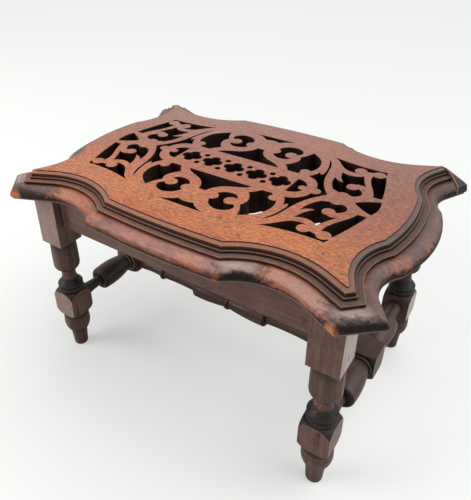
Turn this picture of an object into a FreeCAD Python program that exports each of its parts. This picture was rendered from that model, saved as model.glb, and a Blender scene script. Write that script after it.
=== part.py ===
import FreeCAD, Part
import math
import os

# A footstool: a pierced top board with a stepped moulding, on four turned legs joined by
# four aprons and an H of turned stretchers. Millimetres, +Z up. The origin is on the floor
# under the middle of the top, +X runs along the long side and the front faces -Y.

# Top board
top_length = 339.8  # across the two end bows
top_depth = 244.8  # across the front and back bows
top_thickness = 20.2

# Plan of the flat on the top: bows between cusps, scallops, and clipped horns at the corners
front_bow_width = 108.0
front_bow_rise = 2.0
end_bow_width = 73.0
end_bow_rise = 4.2
front_scallop_slope = 26.0  # degrees, of the straight run from a scallop out to the horn
front_scallop_run = 15.0
end_scallop_slope = 26.5
end_scallop_run = 8.0
horn_setback_x = 4.4  # from the crown of the end bow back to the tip of the horn
horn_setback_y = 3.2  # from the crown of the front bow back to the tip of the horn
horn_clip = 0.8

# Moulded edge of the top, from the flat outwards: a bead, a step, a ledge and a nose
step_drop = 2.1
step_count = 4
bead_drop = 0.8  # from the flat down to the crown of the bead
bead_width = 4.2
bead_round = 1.8
bead_levels = 4
step_width = 1.3
ledge_width = 4.8
nose_width = 10.4
nose_under_depth = 2.6  # how far the nose turns back under itself
nose_under_height = 3.2
nose_under_angle = 70.0
nose_levels = 5
front_horn_flare_out = 3.4  # how much wider the nose is at the outer corner of each front horn
front_horn_flare_back = 1.2  # and how far that corner lies back
left_horn_flare = 4.0  # the same at the front corner of the front left horn
end_bow_swell = 2.5  # how much wider the nose is at the middle of each end bow
arris_height = 0.8  # square fillet under the nose
arris_lip = 0.3

# Repaired horn at the back right, glued on across the horn, with a plain bevel and no moulding
patch_angle = 37.0  # degrees, of the glue line from the long side
patch_gap = 5.9  # from the tip of the flat to the glue line
patch_sink = 0.3  # its top lies this much below the flat
patch_bevel_start = 3.5  # from the edge of the flat to the upper edge of the bevel
patch_bevel_end = 17.5
patch_bevel_drop = 9.0

# Fretwork, drawn on a grid of squares that is stretched into the flat
fret_border_front = 25.3
fret_border_end = 19.8
fret_shift = -1.9  # it stands this much left of the middle
grid_half_length = 131.3
grid_half_depth = 78.0

# Row of pierced quatrefoils along the middle of the fretwork, in squares of the grid
foil_count = 5
foil_pitch = 23.0
foil_lobe_offset = 5.3
foil_lobe_radius = 4.7
foil_heart_radius = 3.0
foil_dot_offset = 8.6
foil_dot_radius = 2.7

# Legs, turned and left square where the rails come in, from the floor up
leg_stock = 25.4
turning_waste = 0.2
foot_height = 19.5
foot_toe_radius = 6.9
foot_top_radius = 8.2
foot_round = 1.8
bowl_height = 25.0
bowl_belly = 16.5
bowl_lip_radius = 10.6
cube_height = 28.8
cube_shoulder = 6.0
cube_top_shoulder = 12.0
shoulder_radius = 11.6
ring_height = 5.2
ring_radius = 12.4
groove_radius = 11.1
groove_height = 0.8
collar_height = 8.0
collar_rim_height = 3.4
collar_radius = 12.2
neck_height = 11.2
neck_base_radius = 7.6
neck_radius = 6.5
vase_height = 33.6
vase_round = 7.5
vase_top_radius = 12.0
leg_block_length = 54.0
frame_inset_end = 20.4  # from the end bow of the top to the legs
frame_inset_front = 19.3

# Aprons, tenoned into the leg blocks
apron_thickness = 10.0
apron_height = 34.0
apron_setback = 8.0
tenon_thickness = 5.0
tenon_shoulder = 6.0
tenon_wall = 1.0
joint_clearance = 0.15

# Stretchers: an end stretcher between two legs, and a middle one between the end stretchers
stretcher_cube_length = 25.0
stretcher_shoulder = 4.6
stretcher_shoulder_radius = 11.2
stretcher_ring_width = 3.2
stretcher_ring_radius = 11.5
stretcher_vase_radius = 10.2
stretcher_belly_radius = 12.3
stretcher_cup_radius = 11.9
stretcher_cup_round = 3.0
stretcher_neck_radius = 5.5
stretcher_foot_radius = 7.4
cup_share = 0.62  # where the cup stands on the run from the ring to the leg
round_tenon_radius = 4.2
round_tenon_length = 9.0
hole_spare = 0.5
middle_shift = 6.0  # the middle ring stands this much left of the middle
middle_drop = 5.6  # the middle stretcher lies this much below the end ones
middle_ring_width = 5.0
middle_ring_radius = 8.8
middle_vase_radius = 7.2
middle_belly_radius = 9.3
middle_rim_radius = 9.6
middle_rim_round = 2.4
middle_rim_share = 0.345  # of the run from the ring to an end stretcher, where each vase ends in its rim
middle_bead_share = 0.72  # of the same run, where the small bead stands
middle_bead_radius = 7.6
middle_bead_width = 4.4
middle_shaft_radius = 4.9
middle_foot_radius = 7.0
middle_foot_length = 7.0

# Old slot in the outer face of the front right leg
slot_width = 1.1
slot_height = 5.0
slot_depth = 2.5
slot_rise = 10.2  # from the bottom of the leg's top block to the middle of the slot

# Corner blocks, the screws up into the top, and the nails through the aprons into the blocks
block_height = 28.0
block_leg = 26.0
screw_radius = 1.75
screw_head_radius = 3.4
screw_head_height = 2.6
screw_bite = 9.0
screw_from_leg = 5.0
nail_radius = 0.8
nail_head_radius = 1.4
nail_head_height = 0.8
nail_bite = 8.0
nail_from_leg = 7.4
nail_rise = 5.2  # above the bottom of the block

# Sizes that follow
nose_start = bead_width + step_width + ledge_width
moulding_width = nose_start + nose_width
flat_half_length = top_length / 2 - moulding_width
flat_half_depth = top_depth / 2 - moulding_width
foot_to_vase = foot_height + bowl_height + cube_height + ring_height + collar_height + neck_height
leg_length = foot_to_vase + vase_height + leg_block_length
stool_height = leg_length + top_thickness
leg_half = leg_stock / 2
turned_radius = leg_half - turning_waste
leg_x = top_length / 2 - frame_inset_end - leg_half
leg_y = top_depth / 2 - frame_inset_front - leg_half
rail_height = foot_height + bowl_height + cube_height / 2
apron_outer_x = leg_x + leg_half - apron_setback
apron_outer_y = leg_y + leg_half - apron_setback
apron_inner_x = apron_outer_x - apron_thickness
apron_inner_y = apron_outer_y - apron_thickness
apron_bottom = leg_length - apron_height
tenon_length = leg_stock - apron_setback - (apron_thickness + tenon_thickness) / 2 - tenon_wall
leg_inner_x = leg_x - leg_half
leg_inner_y = leg_y - leg_half
grid_x = (flat_half_length - fret_border_end) / grid_half_length
grid_y = (flat_half_depth - fret_border_front) / grid_half_depth
corner_radius = leg_half * math.sqrt(2)

SIDES = {"left": -1, "right": 1}
ENDS = {"front": -1, "back": 1}
UP = FreeCAD.Vector(0, 0, 1)


def vec(x, y, z=0.0):
    return FreeCAD.Vector(x, y, z)


# Plan of the top

def scallop(cusp, horn, slope, run):
    """End of a scallop's arc, where it turns into the straight run to the horn, and how far the arc sinks."""
    turn = math.radians(slope)
    along = vec(math.cos(turn), math.sin(turn))
    end = horn - along * run
    chord = cusp - end
    radius = chord.Length ** 2 / (2 * chord.dot(vec(-along.y, along.x)))
    return end, radius - math.sqrt(radius ** 2 - chord.Length ** 2 / 4)


def plan_corners():
    """Corners of the flat, anticlockwise, each with the rise of the edge that leaves it."""
    cusp = vec(front_bow_width / 2, flat_half_depth - front_bow_rise)
    horn_x = flat_half_length - horn_setback_x
    horn_y = flat_half_depth - horn_setback_y
    end_cusp = vec(flat_half_length - end_bow_rise, end_bow_width / 2)
    front_end, front_sink = scallop(cusp, vec(horn_x - horn_clip, horn_y),
                                    front_scallop_slope, front_scallop_run)
    side_end, side_sink = scallop(vec(end_cusp.y, end_cusp.x), vec(horn_y - horn_clip, horn_x),
                                  end_scallop_slope, end_scallop_run)
    quarter = [
        (cusp.x, cusp.y, -front_sink),
        (front_end.x, front_end.y, 0.0),
        (horn_x - horn_clip, horn_y, 0.0),
        (horn_x, horn_y - horn_clip, 0.0),
        (side_end.y, side_end.x, -side_sink),
        (end_cusp.x, end_cusp.y, end_bow_rise),
    ]
    rises_back = [front_bow_rise] + [rise for x, y, rise in quarter[:-1]]
    back = [(q[0], q[1], rise) for q, rise in zip(quarter, rises_back)][::-1]
    turns = [(1, -1, quarter), (1, 1, back), (-1, 1, quarter), (-1, -1, back)]
    return [(vec(x * right, y * rear), rise) for right, rear, run in turns for x, y, rise in run]


class Side:
    """One edge of the plan: a straight line or an arc, which can be moved outwards."""

    def __init__(self, start, end, rise):
        chord = end - start
        self.start = start
        self.rise = rise
        self.out = vec(chord.y, -chord.x) / chord.Length
        self.along = chord / chord.Length
        self.sign = (rise > 0) - (rise < 0)
        if self.sign:
            self.radius = (chord.Length ** 2 / 4 + rise ** 2) / (2 * abs(rise))
            self.centre = (start + end) / 2 + self.out * (rise - self.sign * self.radius)

    def normal(self, point):
        """Outward direction at a point of the edge."""
        if not self.sign:
            return self.out
        return (point - self.centre).normalize() * self.sign

    def crossings(self, other, offset):
        """Points where this edge and another meet when both are moved outwards."""
        if self.sign and other.sign:
            return circles_meet(self.centre, self.radius + self.sign * offset,
                                other.centre, other.radius + other.sign * offset)
        if self.sign:
            return other.crossings(self, offset)
        origin = self.start + self.out * offset
        if other.sign:
            return line_meets_circle(origin, self.along, other.centre, other.radius + other.sign * offset)
        gap = other.start + other.out * offset - origin
        return [origin + self.along * (gap.dot(other.out) / self.along.dot(other.out))]

    def swell(self, offset):
        """Extra reach of the nose at the middle of an end bow, none on any other edge."""
        if self.rise > 0 and abs(self.out.x) > abs(self.out.y):
            return self.out * end_bow_swell * nose_share(offset)
        return vec(0.0, 0.0)

    def edge(self, start, end, offset):
        """The moved edge between two points."""
        if not self.sign:
            return Part.LineSegment(start, end).toShape()
        reach = self.radius + self.sign * offset
        middle = ((start + end) / 2 - self.centre).normalize() * reach + self.centre
        return Part.Arc(start, middle + self.swell(offset), end).toShape()


def line_meets_circle(origin, along, centre, radius):
    foot = origin + along * (centre - origin).dot(along)
    half = math.sqrt(max(0.0, radius ** 2 - (foot - centre).Length ** 2))
    return [foot + along * half, foot - along * half]


def circles_meet(centre_a, radius_a, centre_b, radius_b):
    between = centre_b - centre_a
    gap = between.Length
    along = between / gap
    reach = (gap ** 2 + radius_a ** 2 - radius_b ** 2) / (2 * gap)
    half = math.sqrt(radius_a ** 2 - reach ** 2)
    across = vec(-along.y, along.x)
    return [centre_a + along * reach + across * half, centre_a + along * reach - across * half]


def nose_share(offset):
    """How far across the nose an offset lies, none inside its start and the whole at its end."""
    return max(0.0, offset - nose_start) / nose_width


def front_horn_flare(corner, offset):
    """Extra reach of the nose at the corners of the front horns, none at any other corner."""
    share = nose_share(offset)
    horn_x = flat_half_length - horn_setback_x
    if corner.y < 0 and math.isclose(abs(corner.x), horn_x):
        return vec(math.copysign(front_horn_flare_out, corner.x), front_horn_flare_back) * share
    if corner.y < 0 and math.isclose(corner.x, horn_clip - horn_x):
        return vec(-left_horn_flare, 0.0) * share
    return vec(0.0, 0.0)


def plan_outline(offset, height):
    """Closed wire of the plan, moved outwards with mitred corners and set at a height."""
    corners = plan_corners()
    count = len(corners)
    sides = [Side(corners[i][0], corners[(i + 1) % count][0], corners[i][1]) for i in range(count)]
    points = []
    for i, (corner, rise) in enumerate(corners):
        before = sides[i - 1]
        after = sides[i]
        normals = before.normal(corner) + after.normal(corner)
        mitre = corner + normals * (2 * offset / normals.Length ** 2)
        point = min(before.crossings(after, offset), key=lambda p: (p - mitre).Length)
        points.append(point + front_horn_flare(corner, offset))
    edges = [sides[i].edge(points[i], points[(i + 1) % count], offset) for i in range(count)]
    wire = Part.Wire(edges)
    wire.translate(UP * height)
    return wire


def slab(offset, bottom, top):
    """Flat board of the moved plan between two heights."""
    return Part.Face(plan_outline(offset, bottom)).extrude(UP * (top - bottom))


def rounded_slab(levels):
    """Board whose edge follows a curve through offsets and heights."""
    return Part.makeLoft([plan_outline(offset, height) for offset, height in levels], True, False)


def nose_curve():
    """Offsets and heights down the nose: a quarter round, then a tuck back to the arris."""
    top = stool_height - step_count * step_drop
    bottom = leg_length + arris_height
    tuck = math.radians(nose_under_angle)
    widest = bottom + nose_under_height * math.sin(tuck)
    levels = []
    for i in range(nose_levels + 1):
        angle = math.pi / 2 * (1 - i / nose_levels)
        levels.append((nose_start + nose_width * math.cos(angle), widest + (top - widest) * math.sin(angle)))
    for i in range(1, nose_levels):
        angle = tuck * i / (nose_levels - 1)
        levels.append((moulding_width - nose_under_depth * (1 - math.cos(angle)),
                       widest - nose_under_height * math.sin(angle)))
    return levels


def bead_curve():
    """Offsets and heights of the rounded edge of the bead."""
    side = stool_height - bead_drop - bead_round
    turns = [math.pi / 2 * i / bead_levels for i in range(bead_levels + 1)]
    return [(bead_width - bead_round * (1 - math.cos(a)), side + bead_round * math.sin(a)) for a in turns]


def moulded_board():
    """Top board with its bead, step, ledge and nose, before piercing."""
    nose = nose_curve()
    bead = bead_curve()
    ledge_bottom = stool_height - step_count * step_drop
    step_bottom = ledge_bottom + step_drop
    bead_bottom = step_bottom + step_drop
    board = rounded_slab(nose[::-1])
    board = board.fuse([
        slab(nose[-1][0] + arris_lip, leg_length, leg_length + arris_height),
        slab(nose_start, ledge_bottom, step_bottom),
        slab(bead_width + step_width, step_bottom, bead_bottom),
        slab(bead_width, bead_bottom, bead[0][1]),
        rounded_slab(bead),
        slab(0.0, stool_height - bead_drop, stool_height),
    ])
    return board.removeSplitter().Solids[0]


def bevelled_board():
    """Board of the same outline with a plain bevel in place of the moulding, for the repaired horn."""
    under = nose_curve()[nose_levels:]
    top = stool_height - patch_sink
    bevel_end = (patch_bevel_end, top - patch_bevel_drop)
    lean = math.sqrt(0.5)
    shoulder = (bevel_end[0] + (under[0][0] - bevel_end[0]) * lean,
                under[0][1] + (bevel_end[1] - under[0][1]) * lean)
    levels = [(patch_bevel_start, top), bevel_end, shoulder] + under
    outlines = [plan_outline(offset, height) for offset, height in levels[::-1]]
    board = Part.makeLoft(outlines, True, True)
    return board.fuse(slab(under[-1][0] + arris_lip, leg_length, leg_length + arris_height))


# Fretwork. Each void is a list of spans on the drawing grid of the front right quarter, in
# squares to the right of the middle and forward of it. Two points are a line, three an arc,
# more a smooth curve. Each eye is a round of wood that stands into the void.

EYE_CRESCENT = (30.0, 51.0, 5.7)
EYE_LEAF = (56.0, 27.5, 4.8)
EYE_SCROLL = (100.8, 23.8, 5.2)
EYE_BAR = (111.5, 56.0, 5.6)
EYE_CORNER = (95.5, 55.2, 5.3)
EYE_CARTOUCHE = (78.5, 0.0, 4.7)
EYE_FIELD = (67.0, 0.0, 3.6)


def crescent_void():
    spans = [
        [(14.0, 46.5), (17.5, 42.0), (24.5, 39.7), (30.5, 41.5), (32.5, 45.5)],
        [(32.5, 45.5), (35.0, 55.0)],
        [(35.0, 55.0), (37.7, 58.5), (35.0, 64.8), (28.0, 68.0), (20.5, 66.2), (15.8, 61.8), (14.0, 57.0)],
        [(14.0, 57.0), (18.2, 51.8), (14.0, 46.5)],
    ]
    return spans, [EYE_CRESCENT]


def leaf_void():
    spans = [
        [(41.5, 21.7), (51.0, 21.7)],
        [(51.0, 21.7), (59.5, 30.5)],
        [(59.5, 30.5), (61.9, 38.0), (61.6, 46.0), (58.6, 54.5), (53.0, 61.0), (45.5, 66.5)],
        [(45.5, 66.5), (43.6, 59.5), (39.2, 51.6)],
        [(39.2, 51.6), (41.3, 46.0), (39.6, 38.5), (34.5, 31.0)],
        [(34.5, 31.0), (38.6, 26.6), (41.5, 21.7)],
    ]
    return spans, [EYE_LEAF]


def scroll_void():
    spans = [
        [(89.0, 11.5), (95.2, 9.0)],
        [(95.2, 9.0), (99.6, 11.0), (104.0, 8.6)],
        [(104.0, 8.6), (108.6, 9.4), (111.6, 14.2), (109.8, 19.8), (105.0, 22.8)],
        [(105.0, 22.8), (101.0, 28.7)],
        [(101.0, 28.7), (105.6, 30.2), (110.3, 28.4)],
        [(110.3, 28.4), (105.6, 37.0), (101.5, 47.0)],
        [(101.5, 47.0), (97.8, 44.0), (92.6, 42.4), (87.0, 42.9), (83.0, 45.0)],
        [(83.0, 45.0), (85.6, 35.4), (91.0, 27.0)],
        [(91.0, 27.0), (85.6, 28.6), (81.5, 33.0)],
        [(81.5, 33.0), (83.0, 23.0), (89.0, 11.5)],
    ]
    return spans, [EYE_SCROLL]


def bar_void():
    spans = [
        [(120.5, 16.0), (128.0, 16.0)],
        [(128.0, 16.0), (123.8, 35.0), (118.0, 54.5)],
        [(118.0, 54.5), (108.2, 53.6)],
        [(108.2, 53.6), (107.7, 48.0), (110.3, 39.0), (114.6, 30.5), (118.4, 23.0), (120.5, 16.0)],
    ]
    return spans, [EYE_BAR]


def corner_void():
    spans = [
        [(62.5, 70.2), (88.5, 64.6), (115.6, 64.0)],
        [(115.6, 64.0), (117.2, 59.5)],
        [(117.2, 59.5), (101.2, 56.6)],
        [(101.2, 56.6), (96.6, 49.9)],
        [(96.6, 49.9), (90.5, 49.2), (84.0, 50.8), (78.0, 56.2), (71.4, 64.2), (62.5, 70.2)],
    ]
    return spans, [EYE_BAR, EYE_CORNER]


def gusset_void():
    half = [
        [(0.0, 78.0), (23.5, 78.0)],
        [(23.5, 78.0), (14.2, 75.2), (7.4, 70.0)],
        [(7.4, 70.0), (3.6, 71.2), (0.0, 71.5)],
    ]
    return half + mirrored(half, -1, 1), []


def wedge_void():
    half = [
        [(0.0, 21.7), (32.4, 21.7)],
        [(32.4, 21.7), (25.2, 27.4), (15.8, 31.8), (9.0, 36.8), (5.2, 42.6), (3.6, 48.0)],
        [(3.6, 48.0), (0.0, 48.0)],
    ]
    return half + mirrored(half, -1, 1), []


def cartouche_void():
    half = [
        [(89.0, 0.0), (83.2, 8.0), (78.2, 17.0), (74.6, 28.0), (72.4, 39.0), (69.6, 51.5), (63.5, 61.5)],
        [(63.5, 61.5), (67.6, 51.5), (70.0, 42.0), (71.0, 33.5)],
        [(71.0, 33.5), (69.8, 29.8)],
        [(69.8, 29.8), (67.0, 33.4)],
        [(67.0, 33.4), (65.4, 28.0), (61.8, 21.7)],
        [(61.8, 21.7), (72.4, 15.6), (77.0, 4.0)],
        [(77.0, 4.0), (77.0, 0.0)],
    ]
    return half + mirrored(half, 1, -1), [EYE_CARTOUCHE]


def end_void():
    half = [
        [(112.0, 0.0), (119.8, 6.6), (129.2, 11.4)],
        [(129.2, 11.4), (130.8, 5.8), (131.3, 0.0)],
    ]
    return half + mirrored(half, 1, -1), []


def field_end_void():
    half = [
        [(57.4, 0.0), (57.4, 12.0)],
        [(57.4, 12.0), (66.6, 8.4), (69.4, 0.0)],
    ]
    return half + mirrored(half, 1, -1), [EYE_FIELD]


def mirrored(spans, flip_x, flip_y):
    """Spans of the other half of an outline, run backwards so that the outline closes."""
    return [[(x * flip_x, y * flip_y) for x, y in reversed(span)] for span in reversed(spans)]


def on_grid(point, right, front):
    """Place of a grid point in the quarter given by two signs."""
    return vec(point[0] * grid_x * right + fret_shift, -point[1] * grid_y * front)


def span_edge(points):
    if len(points) == 2:
        return Part.LineSegment(*points).toShape()
    if len(points) == 3:
        return Part.Arc(*points).toShape()
    curve = Part.BSplineCurve()
    curve.interpolate(points)
    return curve.toShape()


def round_on_grid(middle, radius):
    """Round bar through the board, stretched as the grid is."""
    across = middle + vec(radius * grid_x, 0)
    along = middle + vec(0, radius * grid_y)
    ends = [across, along] if grid_x > grid_y else [along, across]
    outline = Part.Wire(Part.Ellipse(*ends, middle).toShape())
    return Part.Face(outline).extrude(UP * stool_height)


def fret_cutter(void, right, front):
    """Solid that pierces one void, with its eyes left standing."""
    spans, eyes = void
    edges = [span_edge([on_grid(point, right, front) for point in span]) for span in spans]
    outline = Part.Face(Part.Wire(edges))
    outline.validate()
    cutter = outline.extrude(UP * stool_height)
    for x, y, radius in eyes:
        cutter = cutter.cut(round_on_grid(on_grid((x, y), right, front), radius))
    return cutter


def quatrefoil_cutters():
    """Four-lobed voids along the middle, with a round dot above and below each strap."""
    cutters = []
    for i in range(foil_count):
        place = (i - (foil_count - 1) / 2) * foil_pitch
        lobes = [round_on_grid(on_grid((place, 0.0), 1, 1), foil_heart_radius)]
        for x, y in ((1, 0), (0, 1), (-1, 0), (0, -1)):
            spot = on_grid((place + x * foil_lobe_offset, y * foil_lobe_offset), 1, 1)
            lobes.append(round_on_grid(spot, foil_lobe_radius))
        cutters.append(lobes[0].multiFuse(lobes[1:]))
    for i in range(foil_count - 1):
        place = (i - (foil_count - 2) / 2) * foil_pitch
        for front in ENDS.values():
            cutters.append(round_on_grid(on_grid((place, foil_dot_offset), 1, front), foil_dot_radius))
    return cutters


def fretwork():
    """Every void of the pierced panel."""
    cutters = []
    for right in (1, -1):
        for front in (1, -1):
            for void in (crescent_void, leaf_void, scroll_void, bar_void, corner_void):
                cutters.append(fret_cutter(void(), right, front))
        for void in (cartouche_void, end_void, field_end_void):
            cutters.append(fret_cutter(void(), right, 1))
    for front in (1, -1):
        for void in (gusset_void, wedge_void):
            cutters.append(fret_cutter(void(), 1, front))
    return cutters + quatrefoil_cutters()


# Top board and its repaired horn

def patch_space():
    """Block of space beyond the slanting glue line, which holds the repaired horn."""
    turn = math.radians(patch_angle)
    out = vec(math.sin(turn), math.cos(turn))
    tip = vec(flat_half_length - horn_setback_x, flat_half_depth - horn_setback_y)
    space = Part.makeBox(top_length, top_depth, stool_height, vec(-top_length / 2, 0.0))
    space.rotate(vec(0.0, 0.0), UP, -patch_angle)
    space.translate(tip + out * patch_gap)
    return space


def make_top():
    board = moulded_board().cut(fretwork())
    for x, y in screw_places():
        board = board.cut(screw_hole(x, y))
    space = patch_space()
    return {"top_board": board.cut(space), "top_corner_patch": bevelled_board().common(space)}


# Turned pieces

def lathe(start, path):
    """Solid turned about Z. Each step of the half profile is an end, or a middle and an end."""
    edges = []
    here = vec(start[0], 0, start[1])
    first = here
    for step in path:
        spots = [vec(radius, 0, height) for radius, height in step]
        if len(spots) == 1:
            edges.append(Part.LineSegment(here, spots[0]).toShape())
        else:
            edges.append(Part.Arc(here, spots[0], spots[1]).toShape())
        here = spots[-1]
    edges.append(Part.LineSegment(here, first).toShape())
    return Part.Face(Part.Wire(edges)).revolve(vec(0, 0), UP, 360)


def shoulder_point(low_radius, high_radius, low, high):
    """Middle of a shoulder that swells from the low radius and turns straight at the high one."""
    lean = math.sqrt(0.5)
    return (low_radius + (high_radius - low_radius) * lean, high + (low - high) * lean)


def leg_turning():
    """Turned outline of a leg, wider than its square stock where it is left square."""
    bowl = foot_height
    bowl_top = bowl + bowl_height
    cube_top = bowl_top + cube_height
    ring_top = cube_top + ring_height
    collar_top = ring_top + collar_height
    neck_top = collar_top + neck_height
    vase_top = neck_top + vase_height
    wide = corner_radius + turning_waste
    rim = ring_top + collar_rim_height
    lean = math.sqrt(0.5)
    toe = (foot_toe_radius - foot_round * (1 - lean), foot_round * (1 - lean))
    belly = bowl + bowl_belly
    bowl_low = (foot_top_radius + (turned_radius - foot_top_radius) * lean, belly - bowl_belly * lean)
    bowl_high = ((turned_radius * 2 + bowl_lip_radius) / 3, (belly + 2 * bowl_top) / 3)
    bowl_quirk = bowl_top - groove_height
    ring_quirk = ring_top - groove_height
    vase_low = (neck_radius + (turned_radius - neck_radius) * lean, neck_top + vase_round * (1 - lean))
    vase_swell = (turned_radius + vase_top_radius) / 2 + turning_waste
    vase_side = (vase_swell, (neck_top + vase_round + vase_top) / 2)
    cove = ((collar_radius + 3 * neck_base_radius) / 4, (rim + 2 * collar_top) / 3)
    neck_waist = ((neck_base_radius + 3 * neck_radius) / 4, (collar_top + neck_top) / 2)
    path = [
        [(foot_toe_radius - foot_round, 0.0)],
        [toe, (foot_toe_radius, foot_round)],
        [(foot_top_radius, bowl)],
        [bowl_low, (turned_radius, belly)],
        [bowl_high, (bowl_lip_radius, bowl_quirk)],
        [(bowl_lip_radius, bowl_top)],
        [(shoulder_radius, bowl_top)],
        [shoulder_point(shoulder_radius, wide, bowl_top, bowl_top + cube_shoulder),
         (wide, bowl_top + cube_shoulder)],
        [(wide, cube_top - cube_top_shoulder)],
        [shoulder_point(shoulder_radius, wide, cube_top, cube_top - cube_top_shoulder),
         (shoulder_radius, cube_top)],
        [(ring_radius, (cube_top + ring_quirk) / 2), (shoulder_radius, ring_quirk)],
        [(groove_radius, ring_quirk)],
        [(groove_radius, ring_top)],
        [(collar_radius, (ring_top + rim) / 2), (groove_radius, rim)],
        [cove, (neck_base_radius, collar_top)],
        [neck_waist, (neck_radius, neck_top)],
        [vase_low, (turned_radius, neck_top + vase_round)],
        [vase_side, (vase_top_radius, vase_top)],
        [(wide, vase_top)],
        [(wide, leg_length)],
        [(0.0, leg_length)],
    ]
    return lathe((0.0, 0.0), path)


def old_slot():
    """Narrow slot in the outer face of the front right leg."""
    middle = foot_to_vase + vase_height + slot_rise
    return centred_box(2 * slot_depth, slot_width, middle - slot_height / 2, middle + slot_height / 2,
                       leg_x + leg_half, -leg_y)


def make_legs(cutters):
    """Four legs, each with the mortises and holes of what comes into it."""
    stock = Part.makeBox(leg_stock, leg_stock, leg_length, vec(-leg_half, -leg_half))
    blank = leg_turning().common(stock)
    legs = {}
    for end, back in ENDS.items():
        for side, right in SIDES.items():
            leg = blank.copy()
            leg.translate(vec(right * leg_x, back * leg_y))
            legs["leg_" + end + "_" + side] = leg.cut(cutters)
    return legs


def stretcher_half(half_length):
    """Half profile of an end stretcher, from its middle to the leg."""
    wide = corner_radius + turning_waste
    cube = stretcher_cube_length / 2
    ring = cube + stretcher_ring_width
    cup = ring + (half_length - ring) * cup_share
    lean = math.sqrt(0.5)
    groove = stretcher_vase_radius - groove_height
    cup_edge = cup - stretcher_cup_round
    cup_flat = stretcher_cup_radius - stretcher_cup_round
    cup_mid = (cup_flat + stretcher_cup_round * lean, cup_edge + stretcher_cup_round * lean)
    return [
        [(wide, cube - stretcher_shoulder)],
        [shoulder_point(stretcher_shoulder_radius, wide, cube, cube - stretcher_shoulder),
         (stretcher_shoulder_radius - groove_height, cube)],
        [(stretcher_ring_radius, (cube + ring) / 2), (stretcher_shoulder_radius - groove_height, ring)],
        [(groove, ring)],
        [(groove, ring + groove_height)],
        [(stretcher_belly_radius, (ring + cup) / 2), (stretcher_cup_radius, cup_edge)],
        [cup_mid, (cup_flat, cup)],
        [(stretcher_neck_radius, cup - groove_height)],
        [(stretcher_neck_radius, (cup + half_length) / 2), (stretcher_foot_radius, half_length)],
        [(round_tenon_radius, half_length)],
        [(round_tenon_radius, half_length + round_tenon_length)],
        [(0.0, half_length + round_tenon_length)],
    ]


def middle_half(half_length):
    """Half profile of the middle stretcher, from its middle to the end stretcher."""
    ring = middle_ring_width / 2
    rim = half_length * middle_rim_share
    bead = half_length * middle_bead_share
    foot = half_length - middle_foot_length
    lean = math.sqrt(0.5)
    rim_mid = (middle_rim_radius - middle_rim_round * (1 - lean), rim - middle_rim_round * (1 - lean))
    shaft_end = middle_shaft_radius + groove_height
    return [
        [(middle_ring_radius, ring / 2), (middle_ring_radius - groove_height, ring)],
        [(middle_vase_radius, ring)],
        [(middle_belly_radius, (ring + rim) / 2), (middle_rim_radius, rim - middle_rim_round)],
        [rim_mid, (middle_rim_radius - middle_rim_round, rim)],
        [(shaft_end, rim)],
        [(middle_shaft_radius, (rim + bead) / 2), (shaft_end, bead - middle_bead_width / 2)],
        [(middle_bead_radius, bead), (shaft_end, bead + middle_bead_width / 2)],
        [(middle_shaft_radius, (bead + foot) / 2), (shaft_end, foot)],
        [(shaft_end, (2 * foot + half_length) / 3), (middle_foot_radius, half_length)],
        [(round_tenon_radius, half_length)],
        [(round_tenon_radius, half_length + round_tenon_length)],
        [(0.0, half_length + round_tenon_length)],
    ]


def both_halves(first_radius, upper_half, lower_half):
    """Turned solid of two half profiles, one up and one down along Z from the origin."""
    upper = lathe((0.0, 0.0), [[(first_radius, 0.0)]] + upper_half)
    lower = lathe((0.0, 0.0), [[(first_radius, 0.0)]] + lower_half).mirror(vec(0, 0), UP)
    return upper.fuse(lower).removeSplitter().Solids[0]


def make_end_stretchers(cutters):
    """Turned stretchers between the front and back legs, square in the middle."""
    half_length = leg_y - leg_half
    half = stretcher_half(half_length)
    turned = both_halves(corner_radius + turning_waste, half, half)
    reach = half_length + round_tenon_length
    stock = Part.makeBox(leg_stock, leg_stock, 2 * reach, vec(-leg_half, -leg_half, -reach))
    blank = turned.common(stock)
    blank.rotate(vec(0, 0), vec(1, 0), 90)
    pieces = {}
    for side, right in SIDES.items():
        piece = blank.copy()
        piece.translate(vec(right * leg_x, 0, rail_height))
        pieces["end_stretcher_" + side] = piece.cut(cutters)
    return pieces


def make_middle_stretcher():
    """Turned stretcher between the two end stretchers."""
    half_length = leg_x - leg_half
    right_half = middle_half(half_length + middle_shift)
    left_half = middle_half(half_length - middle_shift)
    piece = both_halves(middle_ring_radius, right_half, left_half)
    piece.rotate(vec(0, 0), vec(0, 1), 90)
    piece.translate(vec(-middle_shift, 0, rail_height - middle_drop))
    return {"middle_stretcher": piece}


def tenon_hole(spot, direction):
    """Round hole for a stretcher's tenon, into the piece that it meets."""
    radius = round_tenon_radius + joint_clearance
    return Part.makeCylinder(radius, round_tenon_length + hole_spare, spot, direction)


def stretcher_holes_in_legs():
    """Holes for the end stretchers, one in each leg."""
    return [tenon_hole(vec(right * leg_x, back * (leg_y - leg_half), rail_height), vec(0, back))
            for right in SIDES.values() for back in ENDS.values()]


def stretcher_holes_in_ends():
    """Holes for the middle stretcher, one in each end stretcher."""
    height = rail_height - middle_drop
    return [tenon_hole(vec(right * (leg_x - leg_half), 0, height), vec(right, 0)) for right in SIDES.values()]


# Aprons

def centred_box(size_x, size_y, bottom, top, x, y):
    return Part.makeBox(size_x, size_y, top - bottom, vec(x - size_x / 2, y - size_y / 2, bottom))


def apron_tenon(length_x, length_y, x, y, spare):
    """Tenon bar through both ends of an apron, or its mortises when grown by a clearance."""
    return centred_box(length_x + 2 * spare, length_y + 2 * spare, apron_bottom + tenon_shoulder - spare,
                       leg_length - tenon_shoulder + spare, x, y)


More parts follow.
